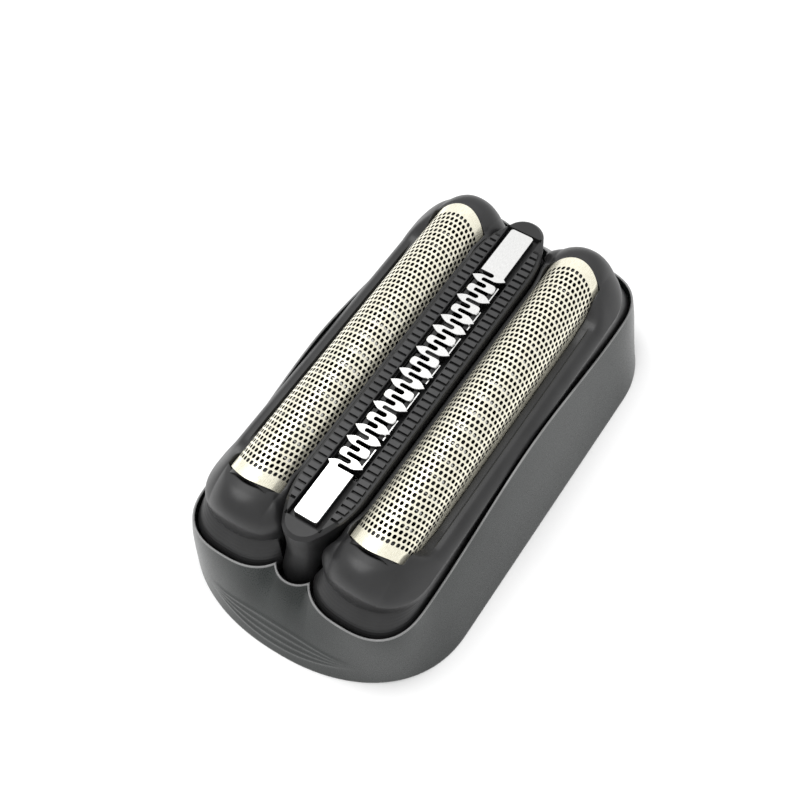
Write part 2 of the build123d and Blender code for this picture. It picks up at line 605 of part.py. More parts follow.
def pieces():
    """Every node of the head by name."""
    nodes = {
        "outer_housing": outer_housing(),
        "chassis": chassis(),
        "trimmer_frame": trimmer_frame(),
        "trimmer_guard": trimmer_guard(),
        "trimmer_cutter": trimmer_cutter(),
        "trimmer_slider": trimmer_slider(),
        "drive_bridge": drive_bridge(),
    }
    paired = {"foil_frame": foil_frame, "foil": foil, "blade_stack": blade_stack, "cutter_carrier": cutter_carrier}
    for name, make in paired.items():
        left = make()
        nodes["left_" + name] = left
        nodes["right_" + name] = mirror(left, about=Plane.XZ)
    nodes.update(springs())
    return nodes


os.makedirs("parts", exist_ok=True)
for node_name, node in pieces().items():
    export_step(node, f"parts/{node_name}.step")
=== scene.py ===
"""Studio picture of a shaver foil head: black housing, two perforated foils and a steel trimmer."""
import math

import bpy
import numpy as np
from mathutils import Matrix, Vector

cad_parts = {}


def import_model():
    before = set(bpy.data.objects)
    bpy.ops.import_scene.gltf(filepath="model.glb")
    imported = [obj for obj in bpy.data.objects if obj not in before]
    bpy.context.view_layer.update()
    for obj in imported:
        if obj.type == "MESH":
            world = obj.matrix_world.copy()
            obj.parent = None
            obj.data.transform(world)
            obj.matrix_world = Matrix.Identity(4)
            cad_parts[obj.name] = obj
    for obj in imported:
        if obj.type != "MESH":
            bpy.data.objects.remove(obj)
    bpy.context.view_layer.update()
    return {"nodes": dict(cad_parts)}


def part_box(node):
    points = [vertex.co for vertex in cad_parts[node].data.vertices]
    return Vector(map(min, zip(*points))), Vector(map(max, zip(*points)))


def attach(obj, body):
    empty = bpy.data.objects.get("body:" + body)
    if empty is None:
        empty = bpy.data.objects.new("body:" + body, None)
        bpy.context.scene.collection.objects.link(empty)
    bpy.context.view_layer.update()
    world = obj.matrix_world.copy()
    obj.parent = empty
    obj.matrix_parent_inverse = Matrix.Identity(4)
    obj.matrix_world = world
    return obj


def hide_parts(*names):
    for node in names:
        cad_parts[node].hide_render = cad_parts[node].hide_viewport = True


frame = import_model()

# Lengths are in metres: X runs along the foils, Y towards the left foil and Z up
MM = 0.001

# Camera
CAMERA_POSITION = (-64.8 * MM, -45.4 * MM, 134.6 * MM)
CAMERA_AZIMUTH = math.radians(-53.2)
CAMERA_ELEVATION = math.radians(57.6)
CAMERA_ROLL = math.radians(-4.0)
CAMERA_LENS = 60.12
CAMERA_SENSOR = 36.0
CAMERA_NEAR = 5.0 * MM

# Studio
WORLD_STRENGTH = 0.9
LAMPS = {
    "softbox": {"place": (-0.02, 0.1, 0.5), "size": 0.45, "power": 1.6},
    "key": {"place": (0.02, 0.26, 0.36), "size": 0.24, "power": 0.15},
}
FLOOR_SIZE = 2.0
FLOOR_DARK = (0.92, 0.92, 0.92)
FLOOR_LIGHT = (0.94, 0.94, 0.94)
FLOOR_GRAIN = 40
FLOOR_ROUGHNESS = 0.9
FLOOR_SPECULAR = 0.1

# Finishes: fineness counts the features of the grain to the metre
NOISE_DETAIL = 3.0
NOISE_SPAN = (0.3, 0.7)
TINT_SPAN = (0.35, 0.65)
BUMP_STRENGTH = 0.5
CLOUD_FINENESS = 300
CLOUD_RANGE = (0.85, 1.15)
PLASTIC_SPECULAR = 0.42
PLASTIC_ROUGHNESS_SPREAD = 0.03
METAL_FINENESS = 2500
METAL_ROUGHNESS_SPREAD = 0.06
PLASTICS = {
    "housing_gloss": {
        "colour": (0.013, 0.0162, 0.0153), "roughness": 0.28, "fineness": 6000, "depth": 0.0006 * MM,
    },
    # Painted highlight: a light grey, glossier too, laid on the rim's bead for the bright line along the
    # rim's edge
    "rim_painted_highlight": {
        "colour": (0.2, 0.2, 0.2), "roughness": 0.16, "fineness": 6000, "depth": 0.0005 * MM,
    },
    "frame_satin": {
        "colour": (0.018, 0.018, 0.0185), "roughness": 0.38, "fineness": 6000, "depth": 0.002 * MM,
    },
    "trimmer_satin": {
        "colour": (0.012, 0.012, 0.0125), "roughness": 0.45, "fineness": 6000, "depth": 0.006 * MM,
    },
    # Painted highlight: a lighter grey on the rib tops for the light they catch
    "rib_painted_highlight": {
        "colour": (0.03, 0.03, 0.031), "roughness": 0.42, "fineness": 6000, "depth": 0.004 * MM,
    },
    "inner_plastic": {
        "colour": (0.02, 0.02, 0.021), "roughness": 0.5, "fineness": 5000, "depth": 0.006 * MM,
    },
    "carrier_plastic": {
        "colour": (0.03, 0.03, 0.032), "roughness": 0.5, "fineness": 5000, "depth": 0.006 * MM,
    },
    # Painted shade: dark inside and hole walls of the foils, for the dark seen through the holes
    "foil_inside_painted_shade": {
        "colour": (0.02, 0.02, 0.02), "roughness": 0.6, "fineness": 4000, "depth": 0.002 * MM,
    },
    # Painted shade: near-black for the comb bar and the blade cores, for the shade under the guard and
    # the foils
    "interior_painted_shade": {
        "colour": (0.006, 0.006, 0.006), "roughness": 0.5, "fineness": 5000, "depth": 0.004 * MM,
    },
}
METALS = {
    "foil_nickel": {
        "low": (0.8, 0.765, 0.61), "high": (0.93, 0.9, 0.76), "roughness": 0.28,
        "stretch": (1, 6, 6), "depth": 0.002 * MM, "metallic": 0.6,
    },
    "guard_steel": {
        "low": (0.88, 0.88, 0.87), "high": (0.95, 0.95, 0.94), "roughness": 0.2,
        "stretch": (1, 8, 1), "depth": 0.002 * MM, "metallic": 1.0,
    },
    "blade_steel": {
        "low": (0.4, 0.4, 0.38), "high": (0.6, 0.59, 0.55), "roughness": 0.3,
        "stretch": (8, 1, 1), "depth": 0.002 * MM, "metallic": 1.0,
    },
}
HIDDEN_FINISHES = {"spring": "blade_steel", "carrier": "carrier_plastic"}
HIDDEN_FINISH = "inner_plastic"

# Meshes: faces that meet at more than the edge angle keep a sharp edge
EDGE_ANGLE = math.radians(32)
# Halvings in the search for the edge of a plan
REACH_STEPS = 40
ARCH_POINTS = 33
# Share of Y in the direction of a ray that counts as straight across
STRAIGHT_ACROSS = 0.999

# Housing
HOUSING_CORE = 12.0 * MM
BASE_HALF_LENGTH = 30.2 * MM
BASE_HALF_WIDTH = 16.7 * MM
BASE_END = 12.7 * MM
BASE_POWER = 2.2
BASE_BEVEL = 0.2 * MM
BASE_BEVEL_STEP = 0.3 * BASE_BEVEL
RIM_CREST_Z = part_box("outer_housing")[1][2]
RIM_END_Z = 9.5 * MM
RIM_ARCH_HALF_LENGTH = 20.0 * MM
RIM_HALF_LENGTH = 27.35 * MM
RIM_HALF_WIDTH = 14.0 * MM
RIM_END = 9.5 * MM
RIM_POWER = 5.0
RIM_WALL = 0.24 * MM
SHOULDER_POWER = 4.0
CUSP_POWER = 18
CUSP_SPREAD = math.radians(5)
CUSP_END = (0.8, 0.95)
WELL_HALF_LENGTH = 26.8 * MM
WELL_HALF_WIDTH = 6.15 * MM
WELL_POWER = 2.6
NOSE_WELL_HALF_LENGTH = 25.7 * MM
NOSE_WELL_HALF_WIDTH = 2.5 * MM
NOSE_WELL_POWER = 2
LEDGE_Z = 4.5 * MM
ROOM_END_WALL = 2.6 * MM
ROOM_SIDE_WALL = 1.4 * MM
ROOM_CUT_LENGTH = 7.6 * MM
ROOM_CUT_WIDTH = 8.3 * MM
RIDGE_HEIGHTS = (1.5 * MM, 2.5 * MM, 3.5 * MM, 4.5 * MM)
RIDGE_MIDDLE_Z = 3.0 * MM
RIDGE_SPAN = 9.5 * MM
RIDGE_PROUD = 0.09 * MM
RIDGE_WIDTH = 0.22 * MM
# The fan is closest about the cusps between the wells
HOUSING_FAN = np.concatenate([np.linspace(0, 22, 67), np.linspace(23, 89, 34)])
HOUSING_STATIONS = np.linspace(-HOUSING_CORE, HOUSING_CORE, 41)
HOUSING_ROWS = 64
BEAD_TURNS = np.radians((30, 60, 90, 120, 150))
WELL_ROWS = 8

# Foil frames
FOIL_Y = 7.5 * MM
FRAME_CORE = 18.95 * MM
FRAME_HALF_LENGTH = 24.8 * MM
FRAME_HALF_WIDTH = 5.85 * MM
FRAME_POWER = 2.3
KINK_BLEND = 0.25 * MM
FRAME_BOTTOM = 6.8 * MM
SKIRT_INSET = 0.15 * MM
SKIRT_INSET_SHARE = 0.4
SKIRT_FLARE_POWER = 1.5
SKIRT_FOOT_Z = 8.6 * MM
SKIRT_GAP = 0.35 * MM
SKIRT_LINES = 9
SKIRT_LINE_ROWS = 4
SKIRT_LINE_DEPTH = 0.012 * MM
NOSE_GAP = 0.65 * MM
CREASE_Z = 11.3 * MM
CREASE_LIP = 0.08 * MM
LOBE_TOP = 16.2 * MM
LOBE_ROUND = 2.7 * MM
LOBE_SIDE_DROP = 3.2 * MM
LOBE_SIDE_ROUND = 2.6 * MM
LOBE_SIDE_POWER = 1.4
LOBE_INNER_ROUND = 0.35 * MM
LOBE_INNER_POWER = 8
LOBE_CROWN_DROP = 1.0 * MM
RAIL_Z = 12.9 * MM
RAIL_EDGE = 1.1 * MM
SADDLE_FOOT = 16.0 * MM
SADDLE_HEAD = 22.0 * MM
SADDLE_BLEND = 0.35 * MM
RAIL_GROOVE = 4.2 * MM
RAIL_GROOVE_WIDTH = 0.07 * MM
RAIL_GROOVE_DEPTH = 0.16 * MM
RAIL_LIP_DROP = 0.45 * MM
RAIL_LIP_WIDTH = 3 * RAIL_GROOVE_WIDTH
GROOVE_FADE_START = 13.5 * MM
INNER_LIP_Z = 14.9 * MM
INNER_LIP_REACH = 0.26 * MM
INNER_LIP_EDGE = 0.12 * MM
INNER_LIP_FADE = 1.5 * MM
WINDOW_EDGE = 0.12 * MM
WINDOW_GAP = 0.05 * MM
END_SLIT = 0.12 * MM
POCKET_WALL = 0.8 * MM
POCKET_TURN = 0.5
SHELF_X = (22.0 * MM, 23.5 * MM)
SHELF_HALF_WIDTH = 2.4 * MM
SHELF_Z = (7.2 * MM, 8.0 * MM)
FLOOR_NOTCH = 4.5 * MM
NOTCH_TOP = 8.5 * MM
NOTCH_STEP = 0.01 * MM
NOTCH_STATIONS = 8
SIDE_STATIONS = 28
FRAME_FAN = np.linspace(0, 88.5, 60)
EDGE_SHARES = (0, 0.25, 0.5, 0.75)
# The rows are closest at the outer edge, where the lobes turn down
OUTER_SHARES = 0.25 * (1 - np.cos(np.linspace(0, np.pi / 2, 14)))
TOP_SHARES = np.concatenate([OUTER_SHARES, np.linspace(0.27, 1, 46)])

# Foils
FOIL_RADIUS = 3.25 * MM
FOIL_AXIS_Z = 13.65 * MM
FOIL_FLANK = 1.95 * MM
FOIL_THICKNESS = 0.08 * MM
FOIL_HALF_LENGTH = 21.1 * MM
FOIL_BOW = 1.3 * MM
HOLE_STEP = 0.7155 * MM
HOLE_PITCH = 0.555 * MM
HOLE_COLUMNS = 55
HOLE_ROWS = 19
HOLE_HALF_LENGTH = 0.27 * MM
HOLE_HALF_WIDTH = 0.19 * MM
HOLE_ROUNDNESS = 0.5
CELL_POINT = (HOLE_STEP**2 + HOLE_PITCH**2 / 4) / (2 * HOLE_STEP)
CELL_FLAT = HOLE_STEP - CELL_POINT
MERGE = 0.0013 * MM
MARGIN_SHARES = np.linspace(0, 1, 5)
RUN_SHARES = np.array((0, 0.25, 0.5, 0.75))
PLUG_X = 18.9 * MM
PLUG_LENGTH = 2.1 * MM

# Blade stacks
BLADE_COUNT = 17
BLADE_PITCH = 2.08 * MM
BLADE_THICKNESS = 0.35 * MM
BLADE_RADIUS = 3.05 * MM
BLADE_FOOT_Z = 12.2 * MM
CORE_HALF_WIDTH = 1.0 * MM
CORE_BOTTOM = 11.6 * MM

# Trimmer
TRIMMER_CORE = 20.0 * MM
TRIMMER_HALF_WIDTH = 3.8 * MM
TRIMMER_TAPER_X = 16.5 * MM
TRIMMER_NOSE_X = 22.3 * MM
TRIMMER_NOSE_HALF_WIDTH = 2.15 * MM
TRIMMER_TIP = 23.7 * MM
TRIMMER_TOP = 16.05 * MM
TRIMMER_GAP = 0.2 * MM
TRIMMER_FAN = np.linspace(0, 88.5, 50)
SHOULDER_Z = 14.4 * MM
BODY_INSET = 0.85 * MM
RECESS_HALF_LENGTH = 21.7 * MM
RECESS_HALF_WIDTH = 2.05 * MM
RECESS_FLOOR = 15.3 * MM
ROOM_HALF_LENGTH = 14.8 * MM
ROOM_HALF_WIDTH = 1.95 * MM
RIB_PITCH = 0.926 * MM
RIB_COUNT = 43
RIB_DEPTH = 0.32 * MM
RIB_HALF_SHARE = 0.37
RIB_LIP = 0.18 * MM
RIB_FLANK = 0.06
RIB_EDGE = 0.4 * MM
RIB_EDGE_IN = 0.3 * RIB_EDGE
RIB_EDGE_DOWN = 0.1 * RIB_EDGE
RIB_START = 1.1 * RIB_EDGE
RIB_LIP_TOP = 0.8 * RIB_LIP
NOSE_INSET = 0.05 * MM
NOSE_POCKET_TURN = 0.7
RECESS_LEDGE = 0.4 * MM
RECESS_EDGE = 0.04 * MM
PAD_HALF_WIDTH = 1.33 * MM

# Guard
GUARD_TOP = 16.4 * MM
GUARD_THICKNESS = 0.3 * MM
GUARD_BEVEL = 0.04 * MM
GUARD_HALF_LENGTH = 21.3 * MM
GUARD_HALF_WIDTH = 1.43 * MM
GUARD_CORNER = 0.35 * MM
FINGER_NECK = 0.75 * MM
POINTED_POWERS = (1.6, 1.0)
BLUNT_POWERS = (4.0, 0.5)
FINGER_PITCH = 1.647 * MM
FINGER_COUNT = 18
FINGER_FIRST_X = -14.53 * MM
LEFT_SLOT_WIDTH = 0.55 * MM
RIGHT_SLOT_WIDTH = 0.47 * MM
LEFT_SLOT_END = -0.35 * MM
RIGHT_SLOT_END = 0.65 * MM
POINTED_TIP = 1.88 * MM
BLUNT_TIP = 1.46 * MM
LEFT_BLUNT = (1, 4)
RIGHT_BLUNT = (1, 3)
BLUNT_CYCLE = 5
FINGER_POINTS = 13
SLOT_POINTS = 11
CORNER_POINTS = 7
COMB_Z = (15.7 * MM, 16.0 * MM)
COMB_HALF_LENGTH = 13.4 * MM
COMB_HALF_WIDTH = 0.95 * MM
TOOTH_INNER = 1.47 * MM
TOOTH_LENGTH = 2.8 * MM
TOOTH_PITCH = 4.1 * MM
TOOTH_COUNT = 7
TOOTH_REACH = 1.6 * MM


def camera():
    """Camera high over the near right corner, rolled a little."""
    flat = math.cos(CAMERA_ELEVATION)
    sideways = -math.sin(CAMERA_AZIMUTH) * flat
    ahead = math.cos(CAMERA_AZIMUTH) * flat
    forward = Vector((sideways, ahead, -math.sin(CAMERA_ELEVATION)))
    right = Vector((math.cos(CAMERA_AZIMUTH), math.sin(CAMERA_AZIMUTH), 0))
    down = forward.cross(right)
    tilted = math.cos(CAMERA_ROLL) * right - math.sin(CAMERA_ROLL) * down
    up = -(math.sin(CAMERA_ROLL) * right + math.cos(CAMERA_ROLL) * down)
    data = bpy.data.cameras.new("camera")
    data.sensor_width = CAMERA_SENSOR
    data.lens = CAMERA_LENS
    data.clip_start = CAMERA_NEAR
    obj = bpy.data.objects.new("camera", data)
    rotation = Matrix((tilted, up, -forward)).transposed().to_4x4()
    obj.matrix_world = Matrix.Translation(CAMERA_POSITION) @ rotation
    bpy.context.collection.objects.link(obj)
    bpy.context.scene.camera = obj


def shader(name):
    """New material with its node tree and principled shader."""
    material = bpy.data.materials.new(name)
    material.use_nodes = True
    return material, material.node_tree, material.node_tree.nodes["Principled BSDF"]


def grain(tree, fineness, stretch=(1, 1, 1)):
    """Noise in the object's own space, as many features to the metre as fineness says."""
    place = tree.nodes.new("ShaderNodeTexCoord")
    spread = tree.nodes.new("ShaderNodeMapping")
    spread.inputs["Scale"].default_value = stretch
    noise = tree.nodes.new("ShaderNodeTexNoise")
    noise.inputs["Scale"].default_value = fineness
    noise.inputs["Detail"].default_value = NOISE_DETAIL
    tree.links.new(place.outputs["Object"], spread.inputs["Vector"])
    tree.links.new(spread.outputs["Vector"], noise.inputs["Vector"])
    return noise


def spread_value(tree, noise, low, high):
    """Noise remapped to a range of values."""
    remap = tree.nodes.new("ShaderNodeMapRange")
    remap.inputs["From Min"].default_value = NOISE_SPAN[0]
    remap.inputs["From Max"].default_value = NOISE_SPAN[1]
    remap.inputs["To Min"].default_value = low
    remap.inputs["To Max"].default_value = high
    tree.links.new(noise.outputs["Fac"], remap.inputs["Value"])
    return remap


def spread_colour(tree, noise, low, high):
    """Noise remapped between two colours."""
    ramp = tree.nodes.new("ShaderNodeValToRGB")
    ramp.color_ramp.elements[0].position = TINT_SPAN[0]
    ramp.color_ramp.elements[0].color = (*low, 1)
    ramp.color_ramp.elements[1].position = TINT_SPAN[1]
    ramp.color_ramp.elements[1].color = (*high, 1)
    tree.links.new(noise.outputs["Fac"], ramp.inputs["Fac"])
    return ramp


def roughen(tree, bsdf, noise, depth):
    """Bump from noise, as deep as depth says."""
    bump = tree.nodes.new("ShaderNodeBump")
    bump.inputs["Strength"].default_value = BUMP_STRENGTH
    bump.inputs["Distance"].default_value = depth
    tree.links.new(noise.outputs["Fac"], bump.inputs["Height"])
    tree.links.new(bump.outputs["Normal"], bsdf.inputs["Normal"])


def moulded(name, colour, roughness, fineness, depth):
    """Moulded plastic with a fine spark-eroded grain."""
    material, tree, bsdf = shader(name)
    bsdf.inputs["Specular IOR Level"].default_value = PLASTIC_SPECULAR
    cloud = grain(tree, CLOUD_FINENESS)
    low, high = (tuple(share * c for c in colour) for share in CLOUD_RANGE)
    tint = spread_colour(tree, cloud, low, high)
    tree.links.new(tint.outputs["Color"], bsdf.inputs["Base Color"])
    fine = grain(tree, fineness)
    spread = PLASTIC_ROUGHNESS_SPREAD
    rough_range = spread_value(tree, fine, roughness - spread, roughness + spread)
    tree.links.new(rough_range.outputs["Result"], bsdf.inputs["Roughness"])
    roughen(tree, bsdf, fine, depth)
    return material


def metal(name, low, high, roughness, stretch, depth, metallic):
    """Bare metal with faint drawn or brushed lines."""
    material, tree, bsdf = shader(name)
    bsdf.inputs["Metallic"].default_value = metallic
    lines = grain(tree, METAL_FINENESS, stretch)
    tint = spread_colour(tree, lines, low, high)
    tree.links.new(tint.outputs["Color"], bsdf.inputs["Base Color"])
    spread = METAL_ROUGHNESS_SPREAD
    rough_range = spread_value(tree, lines, roughness - spread, roughness + spread)
    tree.links.new(rough_range.outputs["Result"], bsdf.inputs["Roughness"])
    roughen(tree, bsdf, lines, depth)
    return material


def piece(name, vertices, faces, material, slot, body, *nodes):
    """Mesh piece that rides on a body and stands for some nodes."""
    mesh = bpy.data.meshes.new(name)
    mesh.from_pydata(vertices.tolist(), [], faces)
    mesh.materials.append(material)
    mesh.shade_smooth()
    mesh.set_sharp_from_angle(angle=EDGE_ANGLE)
    obj = bpy.data.objects.new(name, mesh)
    bpy.context.collection.objects.link(obj)
    if nodes:
        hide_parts(*nodes)
    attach(obj, body)
    return obj


def side_name(side):
    """Name of one side of the head: left above zero, right below."""
    return "left" if side > 0 else "right"


def mirrored(vertices, faces, side):
    """The same mesh, or its mirror image across the head for the right side."""
    if side > 0:
        return vertices, faces
    return vertices * np.array([1, -1, 1]), [list(reversed(face)) for face in faces]


def oblong(points, half_length, half_width, centre_y, end, power):
    """Below zero inside an oblong along X whose ends are half superellipses."""
    along = np.maximum(np.abs(points[:, 0]) - (half_length - end), 0) / end
    across = np.abs(points[:, 1] - centre_y) / half_width
    return along**power + across**power - 1


def ring_rays(core, centre_y, fan, along):
    """Origins and directions of rays from a line along X: fans at its ends, parallels along its sides."""
    angles = np.radians(np.concatenate([-fan[:0:-1], fan]))
    cos, sin = np.cos(angles), np.sin(angles)
    far = np.column_stack([np.full_like(cos, core), np.full_like(cos, centre_y), cos, sin])
    near = far[::-1] * np.array([-1, 1, -1, 1])
    left = np.column_stack([along[::-1], np.full_like(along, centre_y), 0 * along, 0 * along + 1])
    right = left[::-1] * np.array([1, 1, 1, -1])
    rays = np.concatenate([far, left, near, right])
    return rays[:, :2], rays[:, 2:]


def reach(rays, plan):
    """Distance along each ray to the edge of a plan."""
    origin, direction = rays
    low = np.zeros(len(origin))
    high = np.full(len(origin), 2 * BASE_HALF_LENGTH)
    for _ in range(REACH_STEPS):
        middle = (low + high) / 2
        within = plan(origin + middle[:, None] * direction) < 0
        low = np.where(within, middle, low)
        high = np.where(within, high, middle)
    return low


def loop(rays, distance, z):
    """Closed row of points at a distance along the rays."""
    origin, direction = rays
    flat = origin + np.asarray(distance)[:, None] * direction
    return np.column_stack([flat, np.zeros(len(flat)) + z])


def skin(rows):
    """Vertices and quads of a ring whose rows close on themselves and on each other."""
    count = len(rows)
    columns = len(rows[0])
    index = np.arange(count * columns).reshape(count, columns)
    right = np.roll(index, -1, axis=1)
    above = np.roll(index, -1, axis=0)
    corner = np.roll(right, -1, axis=0)
    faces = np.stack([index, right, corner, above], axis=-1).reshape(-1, 4)
    return np.concatenate(rows), faces.tolist()


def joined(parts):
    """One mesh from several."""
    vertices = np.concatenate([v for v, _ in parts])
    starts = np.cumsum([0] + [len(v) for v, _ in parts])
    faces = [[i + start for i in face] for start, (_, part) in zip(starts, parts) for face in part]
    return vertices, faces


def slab(x0, x1, y0, y1, z0, z1):
    """Plain bar between two opposite corners."""
    vertices = np.array([(x, y, z) for z in (z0, z1) for y in (y0, y1) for x in (x0, x1)])
    faces = [[0, 2, 3, 1], [4, 5, 7, 6], [0, 1, 5, 4], [2, 6, 7, 3], [0, 4, 6, 2], [1, 3, 7, 5]]
    return vertices, faces


def round_back(x, thickness, radius, foot):
    """Upright slab across the left foil's axis with a round back and a flat foot."""
    turn = np.linspace(0, np.pi, ARCH_POINTS)
    y = np.concatenate([[radius], radius * np.cos(turn), [-radius]]) + FOIL_Y
    z = np.concatenate([[foot], FOIL_AXIS_Z + radius * np.sin(turn), [foot]])
    count = len(y)
    faces = [list(range(count)), list(range(2 * count - 1, count - 1, -1))]
    for i in range(count):
        j = (i + 1) % count
        faces.append([i, i + count, j + count, j])
    low = np.column_stack([np.full(count, x + thickness / 2), y, z])
    high = np.column_stack([np.full(count, x - thickness / 2), y, z])
    return np.concatenate([low, high]), faces


def smooth_step(value):
    """Eased rise from 0 to 1."""
    value = np.clip(value, 0, 1)
    return value * value * (3 - 2 * value)


def nose_well_plan(wall):
    """Plan of the trimmer's well, moved out by a wall."""
    def plan(points):
        half_width = NOSE_WELL_HALF_WIDTH + wall
        return oblong(points, NOSE_WELL_HALF_LENGTH + wall, half_width, 0, half_width, NOSE_WELL_POWER)
    return plan


def well_plan(wall):
    """Plan of the three joined wells, moved out by a wall."""
    def plan(points):
        half_length = WELL_HALF_LENGTH + wall
        half_width = WELL_HALF_WIDTH + wall
        lobes = [nose_well_plan(wall)(points)]
        for y in (-FOIL_Y, FOIL_Y):
            lobes.append(oblong(points, half_length, half_width, y, half_width, WELL_POWER))
        return np.min(lobes, axis=0)
    return plan


def room_plan(inset):
    """Plan of the socket room, which has cut corners."""
    def plan(points):
        x = np.abs(points[:, 0]) - (BASE_HALF_LENGTH - ROOM_END_WALL - inset)
        y = np.abs(points[:, 1]) - (BASE_HALF_WIDTH - ROOM_SIDE_WALL - inset)
        cut = (x + ROOM_CUT_LENGTH) / ROOM_CUT_LENGTH + (y + ROOM_CUT_WIDTH) / ROOM_CUT_WIDTH - 1
        return np.max([x, y, cut * ROOM_CUT_LENGTH], axis=0)
    return plan


def rim_height(points):
    """Height of the rim, which arches up along both sides of the head."""
    flank = smooth_step(np.abs(points[:, 0]) / RIM_ARCH_HALF_LENGTH)
    return RIM_CREST_Z + (RIM_END_Z - RIM_CREST_Z) * flank


def ridges(points):
    """How far the grip ridges stand out of the skirt's ends."""
    across = points[:, 1] / RIDGE_SPAN
    lens = np.maximum(1 - across**2, 0)
    on_end = np.abs(points[:, 0]) > HOUSING_CORE
    proud = np.zeros(len(points))
    for height in RIDGE_HEIGHTS:
        line = RIDGE_MIDDLE_Z + (height - RIDGE_MIDDLE_Z) * lens
        proud = np.maximum(proud, np.exp(-(((points[:, 2] - line) / RIDGE_WIDTH) ** 2)))
    return RIDGE_PROUD * proud * smooth_step(2 * lens) * on_end


def eased(rays, distance):
    """Distances to the rim with the cusps between the wells filled in softly."""
    turn = np.arctan2(rays[1][:, 1], rays[1][:, 0])
    apart = np.angle(np.exp(1j * (turn[:, None] - turn)))
    weight = np.exp(-((apart / CUSP_SPREAD) ** 2))
    mean = np.maximum(weight @ distance / weight.sum(axis=1), distance)
    on_end = smooth_step((np.abs(rays[1][:, 0]) - CUSP_END[0]) / (CUSP_END[1] - CUSP_END[0]))
    return distance + (mean - distance) * on_end


def housing(material, rim_highlight):
    """Skirt from an oblong base up to a thin arched rim round three wells, open below for the handle."""
    rays = ring_rays(HOUSING_CORE, 0, HOUSING_FAN, HOUSING_STATIONS)
    base = reach(rays, lambda p: oblong(p, BASE_HALF_LENGTH, BASE_HALF_WIDTH, 0, BASE_END, BASE_POWER))
    plain = reach(rays, lambda p: oblong(p, RIM_HALF_LENGTH, RIM_HALF_WIDTH, 0, RIM_END, RIM_POWER))
    rim = reach(rays, well_plan(RIM_WALL))
    soft = eased(rays, rim)
    well = reach(rays, well_plan(0))
    room_foot = reach(rays, room_plan(0))
    lean = (BASE_HALF_WIDTH - RIM_HALF_WIDTH) * LEDGE_Z / RIM_CREST_Z
    room_head = reach(rays, room_plan(lean))
    bead = RIM_WALL / 2
    shoulder = rim_height(loop(rays, rim, 0)) - bead
    rows = [loop(rays, base - BASE_BEVEL, 0), loop(rays, base - BASE_BEVEL_STEP, BASE_BEVEL_STEP)]
    for share in np.linspace(BASE_BEVEL / RIM_END_Z, 1, HOUSING_ROWS):
        distance = base + (plain - base) * share + (soft - plain) * share**SHOULDER_POWER
        distance += (rim - soft) * share**CUSP_POWER
        distance += ridges(loop(rays, distance, share * shoulder))
        rows.append(loop(rays, distance, share * shoulder))
    bead_rows = [len(rows) - 1]
    for turn in BEAD_TURNS:
        distance = (rim + well) / 2 + (rim - well) / 2 * math.cos(turn)
        rows.append(loop(rays, distance, shoulder + bead * math.sin(turn)))
    bead_rows.append(len(rows))
    for share in np.linspace(0, 1, WELL_ROWS):
        rows.append(loop(rays, well, shoulder + (LEDGE_Z - shoulder) * share))
    rows.append(loop(rays, room_head, LEDGE_Z))
    rows.append(loop(rays, room_foot, BASE_BEVEL))
    rows.append(loop(rays, room_foot + BASE_BEVEL, 0))
    shell = piece("housing_shell", *skin(rows), material, "housing_black", "housing", "outer_housing")
    shell.data.materials.append(rim_highlight)
    # The bead rows take the rim material: a lighter grey painted on as the highlight along the rim
    columns = len(rim)
    for polygon in shell.data.polygons[bead_rows[0] * columns:bead_rows[1] * columns]:
        polygon.material_index = 1


def trimmer_half_width(x, growth):
    """Half-width of the trimmer's plan: straight shoulders that run in to a round nose."""
    x = np.abs(x)
    run = np.clip((x - TRIMMER_TAPER_X) / (TRIMMER_NOSE_X - TRIMMER_TAPER_X), 0, 1)
    shoulder = TRIMMER_HALF_WIDTH - (TRIMMER_HALF_WIDTH - TRIMMER_NOSE_HALF_WIDTH) * run**2
    depth = TRIMMER_TIP - TRIMMER_NOSE_X
    radius = (TRIMMER_NOSE_HALF_WIDTH**2 + depth**2) / (2 * depth) + growth
    centre = TRIMMER_TIP + growth - radius
    nose = np.sqrt(np.maximum(radius**2 - (x - centre) ** 2, 0))
    return np.where(x < TRIMMER_NOSE_X, shoulder + growth, nose)


def trimmer_plan(growth):
    """Plan of the trimmer, moved out by a growth."""
    def plan(points):
        return np.abs(points[:, 1]) - trimmer_half_width(points[:, 0], growth)
    return plan


def frame_plan(points):
    """Plan of the left foil frame: an oblong cleared on one side for the trimmer."""
    whole = oblong(points, FRAME_HALF_LENGTH, FRAME_HALF_WIDTH, FOIL_Y, FRAME_HALF_WIDTH, FRAME_POWER)
    whole *= FRAME_HALF_WIDTH / FRAME_POWER
    cleared = trimmer_half_width(points[:, 0], TRIMMER_GAP) - points[:, 1]
    return KINK_BLEND * np.logaddexp(whole / KINK_BLEND, cleared / KINK_BLEND)


def skirt_plan(points):
    """Plan that the skirt of the left foil frame fills in its well, cleared for the trimmer."""
    half_width = FRAME_HALF_WIDTH + SKIRT_GAP
    whole = oblong(points, WELL_HALF_LENGTH, half_width, FOIL_Y, FRAME_HALF_WIDTH, WELL_POWER)
    return np.maximum(whole, trimmer_half_width(points[:, 0], TRIMMER_GAP + SKIRT_GAP) - points[:, 1])


def window_plan(points):
    """Plan of the foil's window in the left frame, with bowed ends."""
    across = np.abs(points[:, 1] - FOIL_Y)
    end = FOIL_HALF_LENGTH + END_SLIT - FOIL_BOW * (across / FOIL_RADIUS) ** 2
    return np.maximum(across - FOIL_RADIUS - WINDOW_GAP, np.abs(points[:, 0]) - end)


def rounding(inward, radius):
    """Fall of a rounded edge at a distance in from it."""
    inward = np.clip(inward, 0, radius)
    return radius - np.sqrt(radius**2 - (radius - inward) ** 2)


